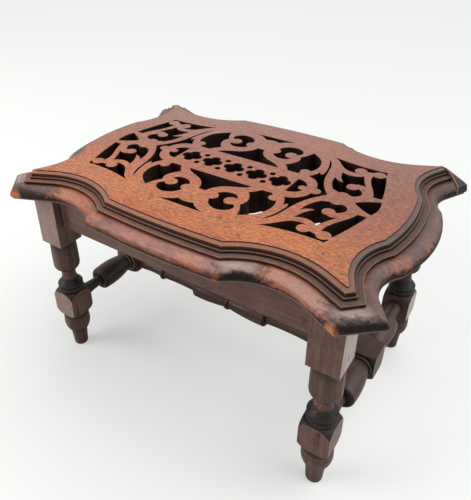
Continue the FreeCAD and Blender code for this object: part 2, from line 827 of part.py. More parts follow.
def apron_tenons(spare):
    """Tenon bars of the four aprons by name."""
    middle_x = apron_outer_x - apron_thickness / 2
    middle_y = apron_outer_y - apron_thickness / 2
    long_bar = 2 * (leg_inner_x + tenon_length)
    short_bar = 2 * (leg_inner_y + tenon_length)
    bars = {}
    for end, back in ENDS.items():
        bars["apron_" + end] = apron_tenon(long_bar, tenon_thickness, 0.0, back * middle_y, spare)
    for side, right in SIDES.items():
        bars["apron_" + side] = apron_tenon(tenon_thickness, short_bar, right * middle_x, 0.0, spare)
    return bars


def make_aprons(cutters):
    """Straight aprons between the leg blocks, under the top."""
    middle_x = apron_outer_x - apron_thickness / 2
    middle_y = apron_outer_y - apron_thickness / 2
    boards = {}
    for end, back in ENDS.items():
        boards["apron_" + end] = centred_box(2 * leg_inner_x, apron_thickness, apron_bottom, leg_length,
                                             0.0, back * middle_y)
    for side, right in SIDES.items():
        boards["apron_" + side] = centred_box(apron_thickness, 2 * leg_inner_y, apron_bottom, leg_length,
                                              right * middle_x, 0.0)
    bars = apron_tenons(0.0)
    aprons = {}
    for name, board in boards.items():
        aprons[name] = board.fuse(bars[name]).removeSplitter().Solids[0].cut(cutters)
    return aprons


# Corner blocks, screws and nails

def screw_places():
    """Middle of each top screw."""
    x = leg_inner_x - screw_from_leg
    y = leg_inner_y - screw_from_leg
    return [(right * x, back * y) for back in ENDS.values() for right in SIDES.values()]


def block_bottom():
    return leg_length - block_height


def screw_hole(x, y):
    """Hole for a screw through a block and into the top."""
    height = block_height + screw_bite + hole_spare
    return Part.makeCylinder(screw_radius + joint_clearance, height, vec(x, y, block_bottom()))


def screw_sink(x, y):
    """Countersink for a screw's head in the underside of a block."""
    mouth = screw_head_radius + joint_clearance
    neck = screw_radius + joint_clearance
    return Part.makeCone(mouth, neck, screw_head_height, vec(x, y, block_bottom()))


def make_corner_blocks(cutters):
    """Glue blocks in the four corners, fitted round the leg's inner edge."""
    reach_x = leg_inner_x - block_leg
    reach_y = leg_inner_y - block_leg
    plan = [
        (leg_inner_x, apron_inner_y), (reach_x, apron_inner_y), (apron_inner_x, reach_y),
        (apron_inner_x, leg_inner_y), (leg_inner_x, leg_inner_y), (leg_inner_x, apron_inner_y),
    ]
    blocks = {}
    for end, back in ENDS.items():
        for side, right in SIDES.items():
            outline = Part.makePolygon([vec(right * x, back * y, block_bottom()) for x, y in plan])
            block = Part.Face(outline).extrude(UP * block_height)
            for x, y in screw_places():
                block = block.cut([screw_hole(x, y), screw_sink(x, y)])
            blocks["corner_block_" + end + "_" + side] = block.cut(cutters)
    return blocks


def make_screws():
    """Countersunk screws through the corner blocks into the top."""
    screws = []
    for x, y in screw_places():
        head = Part.makeCone(screw_head_radius, screw_radius, screw_head_height, vec(x, y, block_bottom()))
        shank = Part.makeCylinder(screw_radius, block_height + screw_bite, vec(x, y, block_bottom()))
        screws.append(head.fuse(shank).removeSplitter().Solids[0])
    return {"top_screws": Part.makeCompound(screws)}


def apron_nails(spare):
    """Nails through the long aprons into the corner blocks, heads flush, or their holes when grown."""
    height = block_bottom() + nail_rise
    nails = []
    for right in SIDES.values():
        for back in ENDS.values():
            face = vec(right * (leg_inner_x - nail_from_leg), back * apron_outer_y, height)
            inwards = vec(0, -back)
            head = Part.makeCylinder(nail_head_radius + spare, nail_head_height, face, inwards)
            shank = Part.makeCylinder(nail_radius + spare, apron_thickness + nail_bite + spare, face, inwards)
            nails.append(head.fuse(shank).removeSplitter().Solids[0])
    return nails


def make_nails():
    return {"block_nails": Part.makeCompound(apron_nails(0.0))}


def main():
    os.makedirs("parts", exist_ok=True)
    nail_holes = apron_nails(joint_clearance)
    mortises = list(apron_tenons(joint_clearance).values())
    nodes = {}
    nodes.update(make_top())
    nodes.update(make_legs(mortises + stretcher_holes_in_legs() + [old_slot()]))
    nodes.update(make_aprons(nail_holes))
    nodes.update(make_end_stretchers(stretcher_holes_in_ends()))
    nodes.update(make_middle_stretcher())
    nodes.update(make_corner_blocks(nail_holes))
    nodes.update(make_screws())
    nodes.update(make_nails())
    for name, shape in nodes.items():
        shape.exportStep("parts/" + name + ".step")
        print(name, len(shape.Solids), shape.isValid(), round(shape.Volume))


main()
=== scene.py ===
import logging
import math
from dataclasses import dataclass, field
from enum import Enum
from typing import Any, Dict, List, Tuple, Union

import bpy
from mathutils import Matrix, Vector

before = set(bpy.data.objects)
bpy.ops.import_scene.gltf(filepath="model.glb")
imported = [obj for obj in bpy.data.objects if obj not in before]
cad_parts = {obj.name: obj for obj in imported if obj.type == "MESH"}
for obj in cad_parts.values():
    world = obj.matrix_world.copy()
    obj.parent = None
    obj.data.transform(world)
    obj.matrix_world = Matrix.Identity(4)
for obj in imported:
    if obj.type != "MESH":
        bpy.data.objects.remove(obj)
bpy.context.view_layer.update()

log = logging.getLogger("footstool")

Colour = Tuple[float, float, float]
Point = Tuple[float, float, float]
Range = Tuple[float, float]
Number = Union[float, "Value"]

MILLIMETRES = 1000.0
IMAGE_WIDTH = 471
IMAGE_HEIGHT = 500
NOISE_MEAN = 0.5
NOWHERE = 1000.0
RAY_SAMPLES = 6
EDGE_START = 0.01
BUMP_STRENGTH = 0.6


class Axis(Enum):
    """Direction that the grain of a piece runs in."""

    ALONG_X = (1.0, 0.0, 0.0)
    ALONG_Y = (0.0, 1.0, 0.0)
    ALONG_Z = (0.0, 0.0, 1.0)


class Value:
    """A number among the nodes, so that shader maths reads as plain expressions."""

    def __init__(self, paint: "Nodes", socket: Any) -> None:
        """Keep the socket and the nodes that it belongs to.

        Args:
            paint: Nodes that the socket is in.
            socket: Output socket that gives the number.
        """
        self.paint = paint
        self.socket = socket

    def math(self, operation: str, first: Number, second: Number = 0.0, third: Number = 0.0) -> "Value":
        """Add one Math node.

        Args:
            operation: Blender's name of the operation.
            first: First operand.
            second: Second operand, where there is one.
            third: Third operand, where there is one.

        Returns:
            The result of the operation.
        """
        made = self.paint.node("ShaderNodeMath", {"operation": operation}, {0: first, 1: second, 2: third})
        return Value(self.paint, made.outputs[0])

    def __add__(self, other: Number) -> "Value":
        """Sum with another number."""
        return self.math("ADD", self, other)

    __radd__ = __add__

    def __sub__(self, other: Number) -> "Value":
        """This number less another."""
        return self.math("SUBTRACT", self, other)

    def __rsub__(self, other: Number) -> "Value":
        """Another number less this one."""
        return self.math("SUBTRACT", other, self)

    def __mul__(self, other: Number) -> "Value":
        """Product with another number."""
        return self.math("MULTIPLY", self, other)

    __rmul__ = __mul__

    def __truediv__(self, other: Number) -> "Value":
        """This number divided by another."""
        return self.math("DIVIDE", self, other)

    def __rtruediv__(self, other: Number) -> "Value":
        """Another number divided by this one."""
        return self.math("DIVIDE", other, self)

    def __abs__(self) -> "Value":
        """Size of this number without its sign."""
        return self.math("ABSOLUTE", self)

    def at_least(self, other: Number) -> "Value":
        """The larger of this number and another."""
        return self.math("MAXIMUM", self, other)

    def rise(self, low: float, high: float) -> "Value":
        """Smooth step of this number.

        Args:
            low: Number at which the step is 0.
            high: Number at which the step is 1.

        Returns:
            A mask from 0 to 1.
        """
        if low > high:
            return 1.0 - self.rise(high, low)
        made = self.paint.node(
            "ShaderNodeMapRange",
            {"interpolation_type": "SMOOTHSTEP"},
            {"Value": self, "From Min": low, "From Max": high},
        )
        return Value(self.paint, made.outputs["Result"])

    def band(self, low: float, high: float, soft: float) -> "Value":
        """Mask of a range of this number.

        Args:
            low: Lower end of the range.
            high: Upper end of the range.
            soft: Width of the blur at each end.

        Returns:
            A mask that is 1 inside the range.
        """
        return self.rise(low - soft, low + soft) * self.rise(high + soft, high - soft)


class Nodes:
    """The nodes of a material or of a world."""

    def __init__(self, tree: bpy.types.NodeTree) -> None:
        """Start with an empty tree.

        Args:
            tree: Tree to build in.
        """
        self.tree = tree
        self.tree.nodes.clear()

    def node(self, kind: str, settings: Dict[str, Any], sockets: Dict[Any, Any]) -> Any:
        """Add one node.

        Args:
            kind: Blender's type of the node.
            settings: Attributes of the node, set first.
            sockets: Values or links of its inputs, by name or number.

        Returns:
            The new node.
        """
        made = self.tree.nodes.new(kind)
        for key, setting in settings.items():
            setattr(made, key, setting)
        for key, given in sockets.items():
            self.feed(made.inputs[key], given)
        return made

    def feed(self, socket: Any, given: Any) -> None:
        """Set or link one input.

        Args:
            socket: Input socket.
            given: A number, a tuple, a Value or an output socket.
        """
        if isinstance(given, Value):
            given = given.socket
        if isinstance(given, bpy.types.NodeSocket):
            self.tree.links.new(given, socket)
        elif socket.type == "RGBA" and len(given) == 3:
            socket.default_value = (*given, 1.0)
        else:
            socket.default_value = given


class Paint(Nodes):
    """A material that is built up from nodes."""

    def __init__(self, name: str) -> None:
        """Start an empty material with one shader.

        Args:
            name: Name of the material.
        """
        self.material = bpy.data.materials.new(name)
        self.material.use_nodes = True
        super().__init__(self.material.node_tree)
        self.shader = self.node("ShaderNodeBsdfPrincipled", {}, {})
        self.node("ShaderNodeOutputMaterial", {}, {"Surface": self.shader.outputs["BSDF"]})

    def blend(self, first: Any, second: Any, factor: Number) -> Any:
        """Mix two colours.

        Args:
            first: Colour at factor 0.
            second: Colour at factor 1.
            factor: How much of the second colour.

        Returns:
            The mixed colour's socket.
        """
        made = self.node("ShaderNodeMix", {"data_type": "RGBA"}, {0: factor, 6: first, 7: second})
        return made.outputs[2]

    def vector(self, operation: str, first: Any, second: Any) -> Any:
        """Add one Vector Math node.

        Args:
            operation: Blender's name of the operation.
            first: First vector.
            second: Second vector.

        Returns:
            The vector's socket.
        """
        made = self.node("ShaderNodeVectorMath", {"operation": operation}, {0: first, 1: second})
        return made.outputs["Vector"]

    def dot(self, first: Any, second: Any) -> Value:
        """Dot product of two vectors.

        Args:
            first: First vector.
            second: Second vector.

        Returns:
            The product as a number.
        """
        made = self.node("ShaderNodeVectorMath", {"operation": "DOT_PRODUCT"}, {0: first, 1: second})
        return Value(self, made.outputs["Value"])

    def place(self) -> Any:
        """Place on the object in millimetres."""
        here = self.node("ShaderNodeTexCoord", {}, {}).outputs["Object"]
        return self.vector("MULTIPLY", here, (MILLIMETRES, MILLIMETRES, MILLIMETRES))

    def split(self, vector: Any) -> List[Value]:
        """The three parts of a vector as numbers."""
        made = self.node("ShaderNodeSeparateXYZ", {}, {0: vector})
        return [Value(self, socket) for socket in made.outputs]

    def facing(self) -> Any:
        """Outward direction of the surface."""
        return self.node("ShaderNodeNewGeometry", {}, {}).outputs["Normal"]

    def noise(self, vector: Any, size: Point, detail: float = 3.0, rough: float = 0.55) -> Value:
        """Cloudy noise.

        Args:
            vector: Place in millimetres.
            size: Size of a cloud along X, Y and Z in millimetres.
            detail: Layers of finer noise.
            rough: Strength of the finer noise.

        Returns:
            A number about 0.5.
        """
        scaled = self.vector("DIVIDE", vector, size)
        sockets = {"Vector": scaled, "Scale": 1.0, "Detail": detail, "Roughness": rough}
        return Value(self, self.node("ShaderNodeTexNoise", {}, sockets).outputs[0])

    def arris(self, radius: float, full: float = 0.2) -> Tuple[Value, Any]:
        """Mask of the edges, and the surface direction with those edges rounded.

        Args:
            radius: Reach of an edge in millimetres.
            full: Turn of the surface at which the mask is 1, as 1 less the cosine.

        Returns:
            The mask and the rounded direction.
        """
        made = self.node("ShaderNodeBevel", {"samples": RAY_SAMPLES}, {"Radius": radius / MILLIMETRES})
        rounded = made.outputs["Normal"]
        return (1.0 - self.dot(rounded, self.facing())).rise(EDGE_START, full), rounded

    def openness(self, reach: float) -> Value:
        """How open the surface is to the air.

        Args:
            reach: Distance in millimetres within which other surfaces count.

        Returns:
            1 where it is open, less in recesses.
        """
        sockets = {"Distance": reach / MILLIMETRES}
        made = self.node("ShaderNodeAmbientOcclusion", {"samples": RAY_SAMPLES}, sockets)
        return Value(self, made.outputs["AO"])

    def wax(self, specular: float, coat_rough: float, weight: Number) -> None:
        """Set how the waxed surface shines.

        Args:
            specular: Specular level of the wood, the same all over.
            coat_rough: Roughness of the wax, the same all over.
            weight: How much wax there is.
        """
        self.feed(self.shader.inputs["Specular IOR Level"], specular)
        self.feed(self.shader.inputs["Coat Roughness"], coat_rough)
        self.feed(self.shader.inputs["Coat Weight"], weight)

    def finish(self, colour: Any, rough: Any, height: Value, relief: float,
               rounded: Any) -> bpy.types.Material:
        """Link the looks into the shader.

        Args:
            colour: Base colour.
            rough: Roughness.
            height: Height of the fine relief, from 0 to 1.
            relief: Depth of that relief in millimetres.
            rounded: Surface direction with rounded edges.

        Returns:
            The finished material.
        """
        depth = relief / MILLIMETRES
        sockets = {"Strength": BUMP_STRENGTH, "Distance": depth, "Height": height, "Normal": rounded}
        bump = self.node("ShaderNodeBump", {}, sockets)
        self.feed(self.shader.inputs["Base Color"], colour)
        self.feed(self.shader.inputs["Roughness"], rough)
        self.feed(self.shader.inputs["Normal"], bump.outputs["Normal"])
        return self.material


@dataclass(frozen=True)
class Noise:
    """A cloudy noise: size of a cloud in millimetres, layers of finer noise and their strength."""

    size: Point
    detail: float = 3.0
    rough: float = 0.55

    def over(self, paint: Paint, place: Any) -> Value:
        """The noise at a place, a number about 0.5."""
        return paint.noise(place, self.size, self.detail, self.rough)


@dataclass(frozen=True)
class Grain:
    """Figure of a wood: streaks, pores and specks."""

    axis: Axis
    streak_length: float = 46.0
    streak_width: float = 2.6
    streak_range: Range = (0.3, 0.7)
    pore_length: float = 3.4
    pore_width: float = 0.34
    pore_range: Range = (0.53, 0.68)
    speck_noise: Noise = Noise((1.76, 1.1, 1.1), 3.0, 0.65)
    speck_range: Range = (0.55, 0.75)

    def stretch(self, length: float, width: float) -> Point:
        """Size of a mark that lies along the grain.

        Args:
            length: Size along the grain.
            width: Size across the grain.

        Returns:
            The size along X, Y and Z.
        """
        x, y, z = (length if part else width for part in self.axis.value)
        return (x, y, z)

    def streaks(self, paint: Paint, place: Any) -> Value:
        """Long soft streaks of lighter and darker wood.

        Args:
            paint: Material to build in.
            place: Place in millimetres.

        Returns:
            A number from 0 to 1.
        """
        noise = Noise(self.stretch(self.streak_length, self.streak_width), detail=4.0, rough=0.6)
        return noise.over(paint, place).rise(*self.streak_range)

    def pores(self, paint: Paint, place: Any) -> Value:
        """Short dark pores.

        Args:
            paint: Material to build in.
            place: Place in millimetres.

        Returns:
            A mask of the pores.
        """
        noise = Noise(self.stretch(self.pore_length, self.pore_width), detail=2.0, rough=0.5)
        return noise.over(paint, place).rise(*self.pore_range)

    def specks(self, paint: Paint, place: Any) -> Value:
        """Small dark specks of old wax and dirt."""
        return self.speck_noise.over(paint, place).rise(*self.speck_range)


@dataclass(frozen=True)
class Spot:
    """A round worn place on the surface, in millimetres."""

    place: Point
    reach: float
    core: float = 0.35

    def mask(self, paint: Paint, place: Any) -> Value:
        """Mask of the worn place.

        Args:
            paint: Material to build in.
            place: Place in millimetres.

        Returns:
            A mask that is 1 in the middle of the worn place.
        """
        made = paint.node("ShaderNodeVectorMath", {"operation": "DISTANCE"}, {0: place, 1: self.place})
        return Value(paint, made.outputs["Value"]).rise(self.reach, self.reach * self.core)


class Marks:
    """Place, direction, grain and wear of a wooden surface, shared by its colours."""

    CLOUDS = Noise((30.0, 24.0, 24.0))
    CLOUD_RANGE = (0.34, 0.66)
    MOTTLE = Noise((5.0, 3.0, 3.0), 3.0, 0.6)
    RAGGED = Noise((2.4, 2.4, 3.4), 4.0, 0.7)
    OPEN_EDGE = (0.72, 0.93)

    def __init__(self, paint: Paint, grain: Grain, edge_reach: float, air_reach: float) -> None:
        """Work out the marks.

        Args:
            paint: Material to build in.
            grain: Figure of the wood.
            edge_reach: Reach of the worn edges in millimetres.
            air_reach: Distance in millimetres within which other surfaces make a recess.
        """
        self.place = paint.place()
        self.x, self.y, self.z = paint.split(self.place)
        self.facing = paint.facing()
        self.face_x, self.face_y, self.face_z = paint.split(self.facing)
        self.edge, self.rounded = paint.arris(edge_reach)
        self.open_air = paint.openness(air_reach)
        self.streaks = grain.streaks(paint, self.place)
        self.pores = grain.pores(paint, self.place)
        self.specks = grain.specks(paint, self.place)
        self.clouds = self.CLOUDS.over(paint, self.place).rise(*self.CLOUD_RANGE)
        self.mottle = self.MOTTLE.over(paint, self.place)
        self.ragged = self.RAGGED.over(paint, self.place)
        self.sharp_edge = self.edge * self.open_air.rise(*self.OPEN_EDGE)


@dataclass(frozen=True)
class TopFinish:
    """Waxed and worn red-brown wood of the top, with painted shade and painted sheen, by place and height
    in millimetres.
    """

    name: str = "worn_top_wood"
    orange: Colour = (0.7, 0.21, 0.058)
    red_brown: Colour = (0.4, 0.125, 0.079)
    red: Colour = (0.5, 0.11, 0.05)
    red_dark: Colour = (0.2, 0.06, 0.034)
    dark: Colour = (0.05, 0.021, 0.016)
    soot_and_shade: Colour = (0.0075, 0.0052, 0.005)
    groove: Colour = (0.115, 0.092, 0.084)
    bead_brown: Colour = (0.17, 0.09, 0.066)
    dull: Colour = (0.37, 0.18, 0.14)
    faint: Colour = (0.19, 0.112, 0.098)
    ridge: Colour = (0.34, 0.125, 0.066)
    worn: Colour = (0.62, 0.22, 0.09)
    bright: Colour = (0.78, 0.33, 0.14)
    glint: Colour = (0.86, 0.31, 0.105)
    nose_brown: Colour = (0.082, 0.04, 0.031)
    rubbed: Colour = (0.46, 0.175, 0.115)
    bloom_and_sheen: Colour = (0.23, 0.175, 0.16)
    pale: Colour = (0.36, 0.28, 0.25)
    sheen: Colour = (0.56, 0.4, 0.365)
    flat_height: float = 205.5
    nose_height: float = 197.1
    step_drop: float = 2.1
    bead_low: float = 203.0
    bead_top: float = 204.8
    soot_and_shade_height: float = 192.4
    arris_height: float = 186.6
    pierced_half_length: float = 132.0
    pierced_half_depth: float = 84.0
    front_line: float = -90.0
    edge_reach: float = 0.9
    air_reach: float = 3.0
    crevice_reach: float = 1.3
    broken: Range = (0.35, 0.6)
    flecks: Noise = Noise((3.6, 1.3, 1.3), 2.0, 0.6)
    shimmers: Noise = Noise((5.0, 1.5, 1.5), 3.0, 0.65)
    smudges: Noise = Noise((7.0, 5.0, 5.0), 2.0, 0.4)
    strokes: Noise = Noise((13.0, 4.0, 2.4), 3.0, 0.6)
    dark_streaks: Noise = Noise((6.0, 5.0, 1.1), 4.0, 0.7)
    rough: float = 0.42
    relief: float = 0.14
    specular: float = 0.13
    coat_rough: float = 0.38
    left_scallop: Range = (-116.0, -70.0)
    front_bow: Range = (-70.0, 64.0)
    right_scallop: Range = (90.0, 138.0)
    worn_spots: Tuple[Spot, ...] = (
        Spot((145.0, -121.0, 187.5), 7.0),
        Spot((-149.0, -121.0, 188.0), 8.0),
        Spot((60.0, -116.6, 187.6), 4.6),
    )
    sheen_spots: Tuple[Spot, ...] = (
        Spot((64.0, -106.5, 195.0), 12.0),
        Spot((74.0, -102.0, 195.5), 13.0),
        Spot((152.5, -109.0, 195.0), 16.0),
        Spot((-158.0, -105.0, 195.5), 14.0),
        Spot((-164.4, -53.3, 195.5), 13.0),
        Spot((-163.4, 110.4, 195.5), 13.0),
    )
    orange_spots: Tuple[Spot, ...] = (
        Spot((-56.0, -117.0, 193.0), 13.0),
        Spot((38.0, -117.0, 193.5), 15.0),
        Spot((98.0, -98.0, 194.0), 13.0),
        Spot((159.0, -41.0, 194.0), 12.0),
    )
    soot_and_shade_spots: Tuple[Spot, ...] = (
        Spot((157.0, -117.0, 189.0), 22.0),
        Spot((72.0, -106.0, 187.0), 14.0),
        Spot((-150.0, -112.0, 189.0), 26.0),
    )
    stains: Tuple[Spot, ...] = (
        Spot((34.6, -74.6, 205.5), 3.6),
        Spot((9.0, -81.0, 205.5), 3.0),
        Spot((-28.0, -79.0, 205.5), 2.4),
        Spot((118.0, 62.0, 205.5), 4.5),
    )
    chipped_strap: Spot = Spot((-60.2, 58.5, 205.5), 4.0)

    def material(self) -> bpy.types.Material:
        """Build the material."""
        paint = Paint(self.name)
        marks = Marks(paint, Grain(Axis.ALONG_X), self.edge_reach, self.air_reach)
        in_fret = abs(marks.x).rise(self.pierced_half_length + 1.0, self.pierced_half_length - 1.0)
        in_fret = in_fret * abs(marks.y).rise(self.pierced_half_depth + 1.0, self.pierced_half_depth - 1.0)
        wall = 1.0 - abs(marks.face_z).rise(0.25, 0.75)
        nose = marks.z.rise(self.nose_height + 0.3, self.nose_height - 0.3) * (1.0 - in_fret)
        moulding = marks.z.rise(self.flat_height - 0.1, self.flat_height - 0.35) * (1.0 - in_fret)
        flat_colour = self.flat_colour(paint, marks)
        colour = paint.blend(flat_colour, self.moulding_colour(paint, marks, wall), moulding)
        nose_colour, soot_and_shade = self.nose_colour(paint, marks)
        colour = paint.blend(colour, nose_colour, nose)
        # Painted shade: the walls of the piercings are near black.
        colour = paint.blend(colour, self.soot_and_shade, wall * in_fret * 0.96)
        # Painted shade in recesses, from how open the surface is to the air.
        recess = marks.open_air.rise(0.8, 0.4) * (0.7 - nose * 0.6)
        colour = paint.blend(colour, self.soot_and_shade, recess)
        # Painted shade: a thin dark line along the inner corners of the steps and the nose.
        crevice = paint.openness(self.crevice_reach).rise(0.88, 0.6) * (1.0 - in_fret)
        crevice = crevice * marks.face_z.rise(-0.3, 0.0)
        colour = paint.blend(colour, self.soot_and_shade, crevice * (0.9 - nose * 0.6))
        under = marks.face_z.rise(-0.6, -0.9)
        colour = paint.blend(colour, self.nose_brown, under)
        rough = self.rough + marks.specks * 0.12 + marks.pores * 0.12 + wall * 0.1
        height = 1.0 - marks.pores * 0.7 - marks.specks * 0.5
        back = marks.y.rise(-20.0, 100.0)
        shine = 0.06 + nose * 0.3 * (1.0 - soot_and_shade) + (1.0 - moulding) * (0.36 + back * 0.16)
        paint.wax(self.specular, self.coat_rough, shine * (1.0 - wall * in_fret))
        return paint.finish(colour, rough, height, self.relief, marks.rounded)

    def flat_colour(self, paint: Paint, marks: Marks) -> Any:
        """Colour of the flat: orange at the front, browner at the back and right, with a painted
        pinkish-grey sheen towards the back.

        Args:
            paint: Material to build in.
            marks: Marks of the surface.

        Returns:
            The colour's socket.
        """
        front = marks.y.rise(40.0, -100.0)
        golden = marks.x.band(70.0, 118.0, 45.0) * marks.y.rise(-30.0, -85.0)
        warmth = front * 0.36 + golden * 0.35 + (marks.streaks - NOISE_MEAN) * 0.3
        warmth = warmth + (marks.mottle - NOISE_MEAN) * 1.1
        browned = marks.x.rise(40.0, 150.0) * marks.y.rise(-95.0, 30.0)
        colour = paint.blend(self.red_brown, self.orange, (warmth + 0.16 - browned * 0.3).rise(-0.1, 1.1))
        # Painted sheen: paler pinkish grey towards the back and at the back left.
        far_left = marks.x.rise(60.0, -80.0) * marks.y.rise(-60.0, 40.0)
        colour = paint.blend(colour, self.dull, marks.y.rise(-30.0, 90.0) * 0.5 + far_left * 0.3)
        rim = marks.y.rise(-84.0, -101.0) * marks.x.rise(90.0, 30.0)
        colour = paint.blend(colour, self.red, rim * (0.4 + marks.clouds * 0.5))
        colour = paint.blend(colour, self.dark, browned * 0.26 + (marks.clouds - NOISE_MEAN) * 0.1)
        fleck = self.flecks.over(paint, marks.place)
        colour = paint.blend(colour, self.red_dark, fleck.rise(0.5, 0.68) * 0.75)
        greyed = marks.y.rise(-70.0, 40.0).at_least(marks.x.rise(60.0, 130.0)) * 0.55
        colour = paint.blend(colour, self.faint, fleck.rise(0.53, 0.4) * greyed)
        shimmer = self.shimmers.over(paint, marks.place)
        colour = paint.blend(colour, self.glint, shimmer.rise(0.46, 0.66) * (0.3 + front * 0.4))
        colour = paint.blend(colour, self.dark, marks.pores * 0.72)
        colour = paint.blend(colour, self.dark, marks.specks * 0.75)
        clouded = self.smudges.over(paint, marks.place).rise(0.62, 0.76)
        colour = paint.blend(colour, self.dark, clouded * 0.45)
        broken = marks.ragged.rise(*self.broken)
        for stain in self.stains:
            stained = stain.mask(paint, marks.place) * broken
            colour = paint.blend(colour, self.dark, stained * 0.6)
        chip = self.chipped_strap.mask(paint, marks.place)
        colour = paint.blend(colour, self.orange, chip * marks.ragged.rise(0.35, 0.55))
        return paint.blend(colour, self.worn, marks.sharp_edge * broken * 0.6)

    def moulding_colour(self, paint: Paint, marks: Marks, wall: Value) -> Any:
        """Colour of the steps: risers near black with painted shade, dull treads with a painted sheen on
        the bead's crown, and orange arrises.

        Args:
            paint: Material to build in.
            marks: Marks of the surface.
            wall: Mask of the upright faces.

        Returns:
            The colour's socket.
        """
        front = marks.y.rise(-60.0, -100.0)
        handled = front * marks.x.rise(175.0, 90.0)
        ruddy = front * marks.x.rise(40.0, -70.0)
        tread = paint.blend(self.groove, self.ridge, marks.mottle.rise(0.3, 0.8) * 0.4 + ruddy * 0.3)
        tread = paint.blend(tread, self.dark, marks.x.rise(110.0, 150.0) * 0.3)
        roll = marks.z.band(self.bead_low, self.bead_top, 0.3)
        right = marks.x.rise(95.0, 150.0) * (1.0 - front)
        rubbed = handled * 0.55 + (marks.mottle - NOISE_MEAN) * 0.9 + 0.1 - right * 0.25
        bead = paint.blend(paint.blend(self.bead_brown, self.groove, right * 0.75), self.worn, rubbed)
        tread = paint.blend(tread, bead, roll)
        # Painted sheen: a pale grey crown along the top of the bead.
        painted_crown_sheen = marks.z.rise(self.bead_top - 0.9, self.bead_top - 0.2) * marks.ragged.rise(0.3, 0.6)
        tread = paint.blend(tread, self.bloom_and_sheen, painted_crown_sheen * roll * 0.6)
        tread = paint.blend(tread, self.dark, marks.specks * 0.5)
        part = (marks.z - self.nose_height) / self.step_drop
        part = part.math("FRACT", part)
        crown = part.rise(0.4, 0.85) * marks.z.rise(self.bead_low, self.bead_low - 0.4)
        # Painted shade: the upright risers are near black, lighter near the top of the lower risers, more
        # where handled.
        riser = paint.blend(self.soot_and_shade, self.ridge, crown * (0.3 + handled * 0.6))
        colour = paint.blend(tread, riser, wall)
        wear = paint.arris(1.2, 0.12)[0] * marks.open_air.rise(0.7, 0.9) * marks.ragged.rise(0.26, 0.5)
        arris = paint.blend(self.worn, self.bright, handled * marks.mottle.rise(0.35, 0.65))
        return paint.blend(colour, arris, wear * (0.95 - wall * 0.7))

    def nose_colour(self, paint: Paint, marks: Marks) -> Tuple[Any, Value]:
        """Colour of the nose: rubbed red along the front with a painted sheen on its shoulder, black below
        and at the horns from soot and painted shade.

        Args:
            paint: Material to build in.
            marks: Marks of the surface.

        Returns:
            The colour's socket and the mask of the black part.
        """
        front = marks.y.rise(self.front_line, self.front_line - 6.0)
        along = marks.x + (marks.ragged - NOISE_MEAN) * 26.0 + (marks.mottle - NOISE_MEAN) * 30.0
        scallop = along.band(*self.left_scallop, 12.0) * front
        bow = along.band(*self.front_bow, 9.0) * front
        hands = scallop + bow * 0.75 + along.band(*self.right_scallop, 12.0) * front * 1.1
        hands = hands + (1.0 - front) * 0.2
        drawn = self.strokes.over(paint, marks.place)
        patchy = (marks.clouds - NOISE_MEAN) * 0.5 + (drawn - NOISE_MEAN) * 1.1
        patchy = patchy + (marks.ragged - NOISE_MEAN) * 0.4
        rub = (hands + patchy).rise(0.0, 1.15)
        colour = paint.blend(self.nose_brown, self.rubbed, rub)
        colour = paint.blend(colour, self.orange, scallop * drawn.rise(0.3, 0.7) * 0.4)
        glow = drawn.rise(0.25, 0.65) * 0.6
        for spot in self.orange_spots:
            colour = paint.blend(colour, self.orange, spot.mask(paint, marks.place) * glow)
        streaky = self.dark_streaks.over(paint, marks.place).rise(0.48, 0.68)
        colour = paint.blend(colour, self.red_dark, streaky * 0.6)
        colour = paint.blend(colour, self.dark, marks.specks * 0.6 + marks.pores * 0.3)
        # Pale grey on the nose's top where it is not rubbed: bloomed wax and painted sheen.
        high = marks.z.rise(self.nose_height - 5.0, self.nose_height - 1.5) * marks.face_z.rise(0.2, 0.6)
        colour = paint.blend(colour, self.bloom_and_sheen, high * (1.0 - rub) * marks.ragged.rise(0.25, 0.6) * 0.45)
        # Painted sheen on the nose's shoulder where it is handled, and at listed spots.
        shoulder = marks.z.band(self.nose_height - 4.4, self.nose_height - 0.1, 0.8)
        painted_sheen = hands.rise(0.4, 0.9) * shoulder * marks.x.rise(-60.0, 50.0)
        colour = paint.blend(colour, self.sheen, painted_sheen * (drawn * 0.5 + 0.1))
        for spot in self.sheen_spots:
            sheen = spot.mask(paint, marks.place) * shoulder * (0.1 + drawn * 0.9 + marks.ragged * 0.5)
            colour = paint.blend(colour, self.sheen, sheen * 0.85)
        # The black lower part of the nose is soot and painted shade; it reaches less high where the nose
        # is handled.
        level = marks.z + (marks.ragged - NOISE_MEAN) * 4.0
        level = level + (drawn - NOISE_MEAN) * 6.0 + hands * 3.8
        for spot in self.soot_and_shade_spots:
            level = level - spot.mask(paint, marks.place) * 3.0
        shaded = level.rise(self.soot_and_shade_height + 4.6, self.soot_and_shade_height - 0.5)
        colour = paint.blend(colour, self.red_dark, shaded * hands.rise(0.3, 0.7) * 0.85)
        far_right = marks.y.rise(25.0, 75.0) * marks.x.rise(100.0, 140.0)
        colour = paint.blend(colour, self.dark, far_right * 0.65)
        # Soot and painted shade below the level.
        soot_and_shade = level.rise(self.soot_and_shade_height + 2.6, self.soot_and_shade_height - 2.0)
        colour = paint.blend(colour, self.soot_and_shade, soot_and_shade * (0.94 - marks.x.rise(-110.0, -150.0) * 0.34))
        crease = paint.arris(2.4, 0.07)[0] * marks.ragged.rise(0.3, 0.5) * marks.open_air.rise(0.6, 0.9)
        colour = paint.blend(colour, self.worn, crease * (1.0 - soot_and_shade * 0.5) * 0.5)
        chipped = marks.ragged.rise(0.25, 0.5)
        for spot in self.worn_spots:
            colour = paint.blend(colour, self.worn, spot.mask(paint, marks.place) * chipped)
        # Painted highlight: a pale line on the arris under the nose.
        line = marks.z.rise(self.arris_height, self.arris_height - 0.5) * marks.face_z.rise(-0.9, -0.6)
        return paint.blend(colour, self.pale, line * 0.6), soot_and_shade


